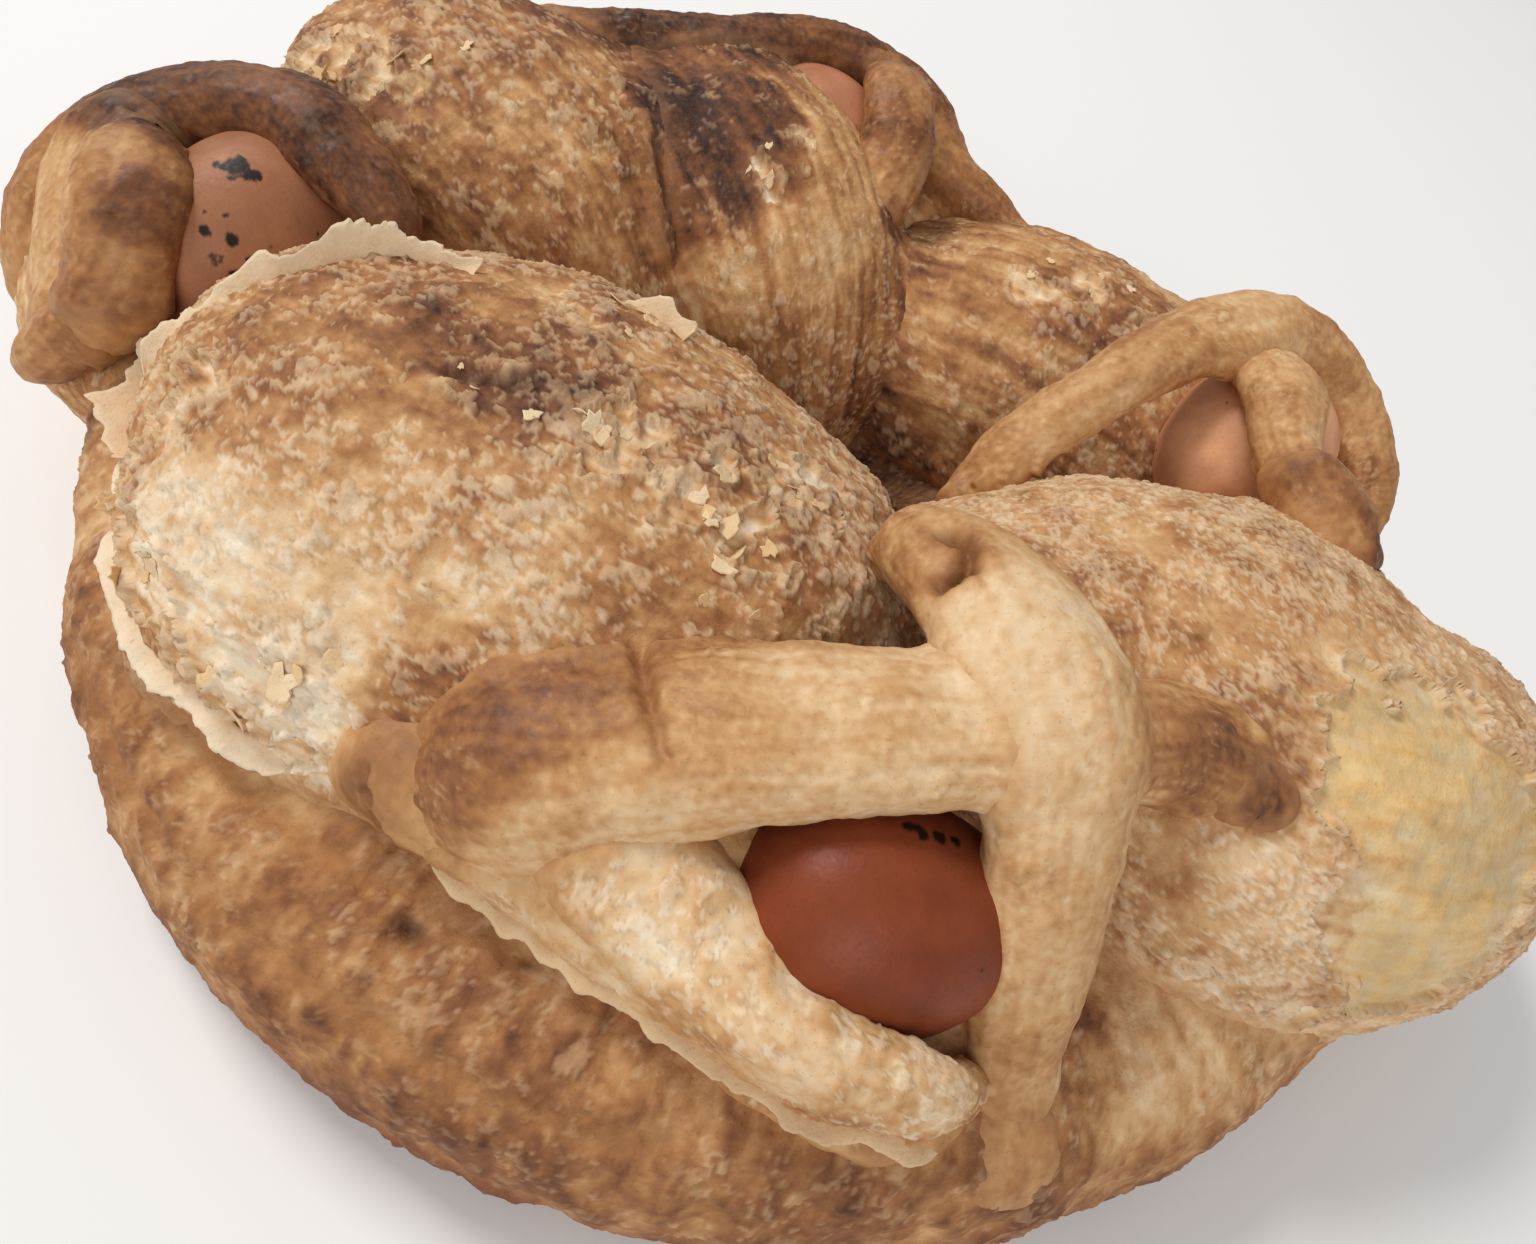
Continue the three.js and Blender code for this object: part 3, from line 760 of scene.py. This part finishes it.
def tinted(tree, base, factor, tint, blend="MIX"):
    """base, moved towards a tint by a 0 to 1 socket."""
    node = tree.nodes.new("ShaderNodeMix")
    node.data_type = "RGBA"
    node.blend_type = blend
    tree.links.new(factor, node.inputs["Factor"])
    tree.links.new(base, node.inputs["A"])
    node.inputs["B"].default_value = (*linear(np.array(tint) / 255), 1)
    return node.outputs["Result"]


def bumped(tree, shader, socket, distance, strength=1.0, before=None):
    node = tree.nodes.new("ShaderNodeBump")
    node.inputs["Distance"].default_value = distance * MM
    node.inputs["Strength"].default_value = strength
    tree.links.new(socket, node.inputs["Height"])
    if before is not None:
        tree.links.new(before, node.inputs["Normal"])
    tree.links.new(node.outputs["Normal"], shader.inputs["Normal"])
    return node.outputs["Normal"]


def dough_material(name, gloss, speck, bump):
    """Baked dough: painted colour with fine pale dust, darker pores and a dry grain."""
    material, tree, shader, where = nodes_of(name)
    paint = tree.nodes.new("ShaderNodeVertexColor")
    paint.layer_name = "crust"
    fine = grain(tree, where, 1.1)
    medium = grain(tree, where, 4.5, 4.0)
    dust = spread(tree, fine, 0.56, 0.74, 0.0, speck)
    pores = spread(tree, grain(tree, where, 0.8, 2.0), 0.62, 0.72, 0.0, 0.3)
    colour = tinted(tree, paint.outputs["Color"], dust, DUST, "SCREEN")
    colour = tinted(tree, colour, pores, PORES, "MULTIPLY")
    warm = spread(tree, medium, 0.45, 0.75, 0.0, 0.2)
    colour = tinted(tree, colour, warm, WARM)
    tree.links.new(colour, shader.inputs["Base Color"])
    matt = spread(tree, medium, 0.3, 0.7, gloss - 0.08, gloss + 0.14)
    tree.links.new(matt, shader.inputs["Roughness"])
    shader.inputs["Specular IOR Level"].default_value = 0.2
    first = bumped(tree, shader, medium, 0.5 * bump)
    bumped(tree, shader, fine, 0.22 * bump, 1.0, first)
    return material


def egg_material(name, gloss):
    """Eggshell: painted colour with a darker mottle and fine pores."""
    material, tree, shader, where = nodes_of(name)
    paint = tree.nodes.new("ShaderNodeVertexColor")
    paint.layer_name = "crust"
    mottle = spread(tree, grain(tree, where, 7, 4.0), 0.3, 0.75, 0.0, 0.6)
    shell = tinted(tree, paint.outputs["Color"], mottle, MOTTLE, "MULTIPLY")
    fine = grain(tree, where, 0.9, 3.0)
    shell = tinted(tree, shell, spread(tree, fine, 0.6, 0.72, 0.0, 0.35), MOTTLE, "MULTIPLY")
    tree.links.new(shell, shader.inputs["Base Color"])
    matt = spread(tree, fine, 0.3, 0.7, gloss - 0.05, gloss + 0.1)
    tree.links.new(matt, shader.inputs["Roughness"])
    shader.inputs["Specular IOR Level"].default_value = 0.22
    first = bumped(tree, shader, grain(tree, where, 3.0), 0.12)
    bumped(tree, shader, fine, 0.06, 1.0, first)
    return material


CRUST = dough_material("crust_flaky", 0.66, 0.3, 1.0)
SATIN = dough_material("crust_satin", 0.5, 0.16, 0.5)

# ---- the pieces ----
# crease: the bake level painted into creases, partly less baked dough and partly painted shade
LOOKS = {
    "near_left": dict(
        seed=1, bake=0.54, pull=(16, 6), fold=0.5, streak=0.5, fleck=0.4, scale=3.6,
        white=0.66, patch=0.42, lumpy=0.9, rough=1.0, patchy=1.0, chalk=0.2, crease=0.4,
        web=10, fillet=1.5,
    ),
    "near_right": dict(
        seed=2, bake=0.46, pull=(14, 9), fold=0.25, streak=0.3, fleck=0.38, scale=2.1,
        white=0.62, patch=0.42, lumpy=0.8, rough=0.7, patchy=1.0, chalk=0.22, crease=0.4,
        shred=-0.36, web=10, fillet=1.5,
    ),
    "back_right": dict(
        seed=3, bake=0.54, pull=(54, 9), fold=1.0, streak=0.9, fleck=0.14, scale=3.4,
        white=0.6, lumpy=1.0, rough=0.7, patchy=0.9, chalk=0.06, crease=0.62, web=16, fillet=4,
    ),
    "back_middle": dict(
        seed=4, bake=0.58, pull=(54, 9), fold=0.8, streak=0.9, fleck=0.16, scale=3.4,
        white=0.6, lumpy=0.9, rough=0.8, patchy=0.42, chalk=0.0, crease=0.66, web=14, fillet=4,
    ),
    "back_left": dict(
        seed=5, bake=0.6, pull=(30, 8), fold=0.7, streak=0.7, fleck=0.24, scale=4.0, white=0.6,
        lumpy=1.0, rough=1.0, patchy=1.0, chalk=0.06, crease=0.6, web=12, fillet=2.5,
    ),
}
NEST_LOOK = dict(
    bake=0.5, pull=(30, 8), fold=0.7, streak=0.6, fleck=0.15, scale=3.4, white=0.6, lumpy=0.7,
    rough=0.6, patchy=0.8, chalk=0.05, crease=0.6, web=12, fillet=2.5,
)
STRIP_LOOK = dict(
    bake=0.48, pull=(50, 9), fold=0.35, streak=0.45, fleck=0.05, scale=2.2, white=0.5,
    lumpy=0.75, rough=0.6, patchy=0.45, chalk=0.0, crease=0.5, shred=-1.2, lap=3.0, web=6,
    fillet=1.6,
)
WALL_LOOK = dict(
    seed=6, bake=0.6, pull=(6, 26), fold=0.5, streak=0.7, fleck=0.12, scale=3.2, white=0.4,
    lumpy=1.1, rough=0.8, patchy=0.7, chalk=0.2, crease=0.45, shred=-0.6,
)

NEAR_PITCH, FAR_PITCH, NEST_PITCH, STRIP_PITCH, STRAND_PITCH = 0.58, 0.8, 0.9, 0.5, 0.85  # mm
STRIP_BAKE = {"left": 0.58, "back": 0.74, "right": 0.54, "front": 0.42}

skins = {}
bodies = {**LOBES, **{f"{k}_nest": v for k, v in NESTS.items()}, "lower_strand": lower_strand}
for name, body in LOBES.items():
    rest = [b for b in bodies.values() if b is not body]
    pitch = NEAR_PITCH if name.startswith("near") else FAR_PITCH  # finer on the two nearest lobes
    skins[name] = skin(f"lobe_{name}", body, LOOKS[name], rest, CRUST, pitch)
for number, (name, body) in enumerate(NESTS.items()):
    rest = [b for b in bodies.values() if b is not body]
    look = dict(NEST_LOOK, seed=10 + number)
    skins[f"{name}_nest"] = skin(f"nest_{name}", body, look, rest, CRUST, NEST_PITCH)
for number, (name, body) in enumerate(STRIPS.items()):
    rest = list(bodies.values()) + [b for b in STRIPS.values() if b is not body]
    look = dict(STRIP_LOOK, seed=20 + number, bake=STRIP_BAKE[name.split("_")[0]], name=name)
    if name in SOFTER:
        look.update(web=11, fillet=3.2)
    if name == "left_arch":
        look.update(patchy=0.15)
    if name in ("front_cradle", "front_collar"):
        look.update(fleck=0.2, rough=0.5, white=0.6, shred=-0.78, lumpy=1.0, patchy=1.1, scale=3)
    skins[name] = skin(f"strip_{name}", body, look, rest, SATIN, STRIP_PITCH)

# the lower strand: its outer wall, and the side of the hole at half as many columns
STRAND_AROUND = 1150.0  # mm that its columns are spread over
STRAND_ACROSS = 170.0  # mm that its rows are spread over
STRAND_RADIUS = 165.0  # turns an angle into mm around it
DARKER_FOOT = np.array([132, 74, 50]) / 255.0
HOLE_PAINTED_SHADE = 0.6  # painted shade: the part of the colour that is left in the hole
HOLE_REACH = 62.0  # mm from the middle of the hole
pitch = STRAND_PITCH * FINE
for name, fewer, span in (("wall", 1, (-0.5 * math.pi, 0.6 * math.pi)),
                          ("hole", 2, (1.5 * math.pi, 0.6 * math.pi))):
    count = int(STRAND_AROUND / pitch / fewer)
    rows = np.linspace(*span, int(STRAND_ACROSS / pitch))
    grid = lower_strand.surface(np.arange(count) / count, rows).transpose(1, 0, 2) + SHIFT
    if name == "hole":
        grid = grid[:, ::-1]
    normal = grid_normals(grid)
    outside = coarse_depth([*LOBES.values(), *NESTS.values()], grid)
    flat = grid.reshape(-1, 3)
    around = np.arctan2(flat[:, 1], flat[:, 0]) * STRAND_RADIUS
    height, colour = crust(flat, around, flat[:, 2], WALL_LOOK, smooth(6, 0, outside).ravel())
    # the wall's colour goes towards a dark brown near the floor
    low = smooth(26, 3, flat[:, 2] + 6 * fbm(flat, 14, 3, 9))
    colour += (linear(DARKER_FOOT) - colour) * (0.62 * low)[:, None]
    from_hole = flat[:, :2] - SHIFT[:2] - HOLE_CENTRE
    # painted shade: the colour near the middle of the hole is darkened
    colour[np.hypot(*from_hole.T) < HOLE_REACH] *= HOLE_PAINTED_SHADE
    sole = smooth(0.0, 5.0, flat[:, 2])
    rise = (height * sole).reshape(outside.shape) + 1.2 * smooth(7, 0, outside) ** 2
    grid = grid + normal * rise[..., None]
    grid[..., 2] = np.maximum(grid[..., 2], 0.0)
    mesh_piece(f"strand_{name}", grid, colour, uncovered(outside), True, CRUST)

# ---- loose skin: flaps along the twist's edges and small flakes ----
SHEETS = [  # foot and rise to the free edge of each papery flap, on the finished part, and its bake
    ([(-137, -62, 67), (-129, -56, 76), (-120, -50, 84), (-110, -42, 89), (-101, -34, 91),
     (-94, -30, 92), (-84, -28, 93), (-74, -29, 94)], [(-4, 1, 2), (-3, 4, 4), (-2, 4, 5),
     (-1, 5, 6), (1, 5, 11), (3, 4, 11), (4, 3, 5), (3, 2, 1)], 0.16),
    ([(-149, -46, 60), (-147, -58, 57), (-142, -69, 55), (-134, -79, 55)], [(-4, -1, 5),
     (-7, -2, 3), (-7, -4, 1), (-4, -4, 0)], 0.2),
    ([(-142, -72, 50), (-128, -87, 51), (-114, -99, 56), (-100, -111, 58), (-88, -119, 57),
     (-76, -125, 56), (-62, -129, 52)], [(-2, -2, -2), (-2, -3, -2), (-3, -3, -2),
     (-2, -4, -2), (-2, -4, -3), (-1, -4, -3), (0, -3, -2)], 0.1),
    ([(-46, -20, 93), (-38, -19, 93), (-30, -22, 93)], [(0, 4, 3), (1, 5, 6), (3, 4, 1)], 0.22),
    ([(-44, -126, 55), (-23, -135, 57), (-7, -140, 57), (8, -145, 56), (24, -148, 54),
     (39, -149, 51), (54, -147, 47), (70, -142, 42)], [(0, -2, -1), (0, -3, -2), (0, -3, -2),
     (0, -3, -2), (0, -3, -2), (0, -3, -2), (0, -3, -2), (0, -2, -1)], 0.3),
]


def loose_sheet(foot, lift, level, seed, on):
    """A thin torn sheet that stands off the skin along a line, as a grid of points and colours."""
    foot, lift = np.array(foot, float), np.array(lift, float)
    length = np.linalg.norm(np.diff(foot, axis=0), axis=1).sum()
    t = np.linspace(0, 1, max(int(length / (0.6 * FINE)), 10))
    base, rise = spline(foot, t), spline(lift, t)
    for k, point in enumerate(base):
        found = [piece.closest_point_on_mesh(Vector(point * MM))[1] for piece in on]
        base[k] = np.array(min(found, key=lambda c: (c - Vector(point * MM)).length)) / MM
    few = np.linspace(0, len(t) - 1, max(int(length / 6), 4)).astype(int)
    base = spline(base[few], np.linspace(0, 1, len(t)))
    base -= 0.3 * rise
    at = np.column_stack([t * length, 0 * t, 0 * t + 5.0 * seed])
    tall = 1 + 0.8 * fbm(at, 15, 2, seed) + 0.35 * fbm(at, 4, 3, seed + 1)
    tall = np.clip(tall, 0.15, 1.8)
    tall *= np.minimum(smooth(0, 0.06, t), smooth(1, 0.94, t))
    up = np.linspace(0, 1, 9)
    wave = np.outer(fbm(at, 14, 2, seed + 2), up**2)
    way = unit(np.cross(np.gradient(base, axis=0), rise))
    grid = base[:, None] + up[None, :, None] * (rise * tall[:, None])[:, None]
    grid = grid + (1.6 * wave)[..., None] * way[:, None]
    colour = np.tile(linear(shade(np.full(1, level))[0]), (*grid.shape[:2], 1))
    mix = np.clip(0.5 + 0.6 * fbm(grid.reshape(-1, 3), 5, 3, seed + 3), 0, 1)
    mix = mix.reshape(grid.shape[:2]) * (1 - up[None]) + 0.1
    colour += (linear(shade(np.full(1, level + 0.3))[0]) - colour) * mix[..., None]
    return grid, colour


def thicken(piece, thickness):
    solid = piece.modifiers.new("thickness", "SOLIDIFY")
    solid.thickness = thickness * MM
    solid.offset = 0
    bpy.context.view_layer.objects.active = piece
    with bpy.context.temp_override(object=piece, active_object=piece, selected_objects=[piece]):
        bpy.ops.object.modifier_apply(modifier=solid.name)


hosts = [skins["near_left"], skins["front_cradle"]]
for number, (foot, lift, level) in enumerate(SHEETS):
    grid, colour = loose_sheet(foot, lift, level, 80 + number, hosts)
    keep = np.ones((grid.shape[0] - 1, grid.shape[1]), bool)
    keep[:, -1] = False
    thicken(mesh_piece(f"flap_{number}", grid, colour, keep, False, CRUST), 0.35)

FLAKES = [  # x, y, z, reach of the patch, how many, widest size
    (-30, -63, 97, 13, 6, 4.8), (-10, -66, 95, 12, 6, 4.8), (4, -52, 89, 10, 4, 4.8),
    (0, -80, 90, 9, 4, 4.8), (-148, -55, 52, 9, 4, 4.8), (-125, -85, 58, 9, 4, 4.8),
    (-100, -106, 66, 10, 4, 4.8), (-78, -120, 60, 9, 4, 4.8), (-60, -118, 72, 10, 4, 4.8),
    (-40, -20, 92, 12, 4, 4.8), (-152, 51, 86, 12, 4, 4.8), (-131, 44, 91, 12, 4, 4.8),
    (-118, 52, 94, 9, 3, 4.8), (-36, 68, 88, 9, 3, 4.8), (48, 82, 80, 10, 3, 4.8),
    (66, 86, 82, 10, 3, 4.8), (-62, -60, 98, 10, 2, 2.8),
]
draw = np.random.default_rng(7)
sheets, tints = [], []
hosts = [skins[name] for name in LOBES]
spokes, rings = 14, 5
for x, y, z, reach, count, size in FLAKES:
    for _ in range(count):
        spot = np.array([x, y, z]) + draw.normal(size=3) * [reach, reach, 1] * 0.5
        found = [piece.closest_point_on_mesh(Vector(spot * MM)) for piece in hosts]
        _, place, normal, _ = min(found, key=lambda c: (c[1] - Vector(spot * MM)).length)
        turn = draw.uniform(0, 2 * math.pi)
        n = np.array(normal)
        a = unit(np.cross(n, [math.cos(turn), math.sin(turn), 0.3]))
        b = np.cross(n, a)
        wide = size * draw.uniform(0.35, 1.0) / 2
        theta = np.linspace(0, 2 * math.pi, spokes, endpoint=False)
        jag = 1 + sum(0.17 * np.cos(k * theta + draw.uniform(0, 6.28)) for k in (2, 3, 5, 6))
        rho = np.linspace(0, 1, rings)[:, None]
        ahead = rho * np.clip(jag, 0.5, 1.6) * np.cos(theta)
        aside = rho * np.clip(jag, 0.5, 1.6) * np.sin(theta)
        rise = draw.uniform(0.02, 0.3)
        lift = rise * np.maximum(ahead + 0.4, 0) ** 1.4 + 0.08 * draw.normal() * aside
        sheet = np.array(place) / MM + 0.2 * n + wide * (
            1.3 * ahead[..., None] * a + aside[..., None] * b + lift[..., None] * n)
        sheets.append(sheet)
        tone = shade(np.full(1, draw.uniform(0.14, 0.4)))[0]
        tone = tone + (YELLOW - tone) * draw.uniform(0, 0.3)
        tints.append(np.tile(linear(tone), (rings, spokes, 1)))
keep = np.ones((rings * len(sheets) - 1, spokes), bool)
keep[rings - 1 :: rings] = False
sheets, tints = np.concatenate(sheets), np.concatenate(tints)
thicken(mesh_piece("loose_flakes", sheets, tints, keep, True, CRUST), 0.25)

# ---- eggs ----
SHELLS = {  # colour, roughness, slot
    "egg_front": ((134, 64, 36), 0.42, "eggshell_dark"),
    # the right egg's colour is partly its own tone and partly painted light, lightened to make up
    # for the shadow a strip casts on it
    "egg_right": ((222, 164, 122), 0.5, "eggshell"),
    "egg_back": ((186, 124, 90), 0.5, "eggshell"),
    "egg_left": ((170, 114, 80), 0.5, "eggshell"),
}
BURNT_SPECK = np.array([30, 18, 14]) / 255.0
SPECKS = [  # x, y, z, reach
    (41, -112, 83, 2.4), (47, -111, 83, 2.0), (44, -112, 83, 2.4), (50, -110, 82, 1.6),
    (-142, -11, 85, 4.6), (-138, -11, 85, 3.0), (-146, -12, 84, 2.0), (-141, -26, 77, 2.2),
    (-136, -24, 76, 2.2), (-132, -24, 72, 1.5), (-138, -28, 72, 2.4), (-146, -27, 73, 1.6),
    (-139, -21, 79, 1.8), (-134, -28, 70, 1.6),
]
for number, (name, (centre, axis)) in enumerate(EGGS.items()):
    colour, gloss, slot = SHELLS[name]
    count = int(180 / FINE)
    grid = egg_skin(centre, axis, count, 2 * count) + SHIFT
    flat = grid.reshape(-1, 3)
    rgb = np.tile(np.array(colour) / 255, (len(flat), 1))
    tone = 0.06 * fbm(flat, 16, 2, 50 + number)
    rgb = rgb * (1 + tone)[:, None]
    ragged = fbm(flat, 2.2, 3, 60 + number)
    spot = np.zeros(len(flat))
    for x, y, z, reach in SPECKS:
        d = np.linalg.norm(flat - np.array([x, y, z]), axis=1) / reach
        spot = np.maximum(spot, smooth(0.75, 0.5, d + 0.5 * ragged))
    far, which = cells(flat, 6.0, 70 + number)
    spot = np.maximum(spot, 0.8 * smooth(0.1, 0.05, far) * (which > 0.6))
    rgb += (BURNT_SPECK - rgb) * (0.96 * spot)[:, None]
    keep = np.ones((grid.shape[0] - 1, grid.shape[1]), bool)
    shell = egg_material(f"shell_{name}", gloss)
    mesh_piece(f"{name}_shell", grid, linear(rgb), keep, True, shell, name)

# ---- floor, light and camera ----
FLOOR = 12.0  # metres from the middle to a side
floor_mesh = bpy.data.meshes.new("floor")
corners = [(x * FLOOR, y * FLOOR, 0) for x, y in ((-1, -1), (1, -1), (1, 1), (-1, 1))]
floor_mesh.from_pydata(corners, [], [(0, 1, 2, 3)])
floor = bpy.data.objects.new("floor", floor_mesh)
bpy.context.scene.collection.objects.link(floor)
floor_look, _, shader, _ = nodes_of("floor_pale")
shader.inputs["Base Color"].default_value = (0.86, 0.85, 0.84, 1)
shader.inputs["Roughness"].default_value = 0.9
floor_mesh.materials.append(floor_look)
floor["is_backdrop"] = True

world = bpy.data.worlds.new("soft_room")
bpy.context.scene.world = world
world.use_nodes = True
world.node_tree.nodes["Background"].inputs["Color"].default_value = (0.95, 0.97, 1.0, 1)
world.node_tree.nodes["Background"].inputs["Strength"].default_value = 0.41


def soft_light(name, place, size, power, colour):
    """A round lamp turned to the middle of the part; metres and watts."""
    lamp = bpy.data.lights.new(name, "AREA")
    lamp.shape = "DISK"
    lamp.size = size
    lamp.energy = power
    lamp.color = colour
    lamp_object = bpy.data.objects.new(name, lamp)
    lamp_object.location = place
    lamp_object.rotation_euler = (-Vector(place)).to_track_quat("-Z", "Y").to_euler()
    bpy.context.scene.collection.objects.link(lamp_object)


soft_light("window", (-2.25, 1.05, 3.0), 1.35, 94.5, (1.0, 0.975, 0.94))
soft_light("room", (0.45, -3.6, 2.55), 3.0, 72.0, (1.0, 0.985, 0.96))

camera = bpy.data.cameras.new("camera")
camera.sensor_width = 36
camera.lens = 24.70
camera.clip_start = 0.01
camera_object = bpy.data.objects.new("camera", camera)
bpy.context.scene.collection.objects.link(camera_object)
CAMERA_PLACE = Vector((7.608, -208.112, 231.092)) * MM
TILT = math.radians(90 - 49.2)  # from straight down
ROLL = math.radians(20.68)
camera_object.matrix_world = (
    Matrix.Translation(CAMERA_PLACE) @ Matrix.Rotation(TILT, 4, "X") @ Matrix.Rotation(ROLL, 4, "Z")
)
bpy.context.scene.camera = camera_object
bpy.context.scene.view_settings.view_transform = "Standard"

low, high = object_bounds()
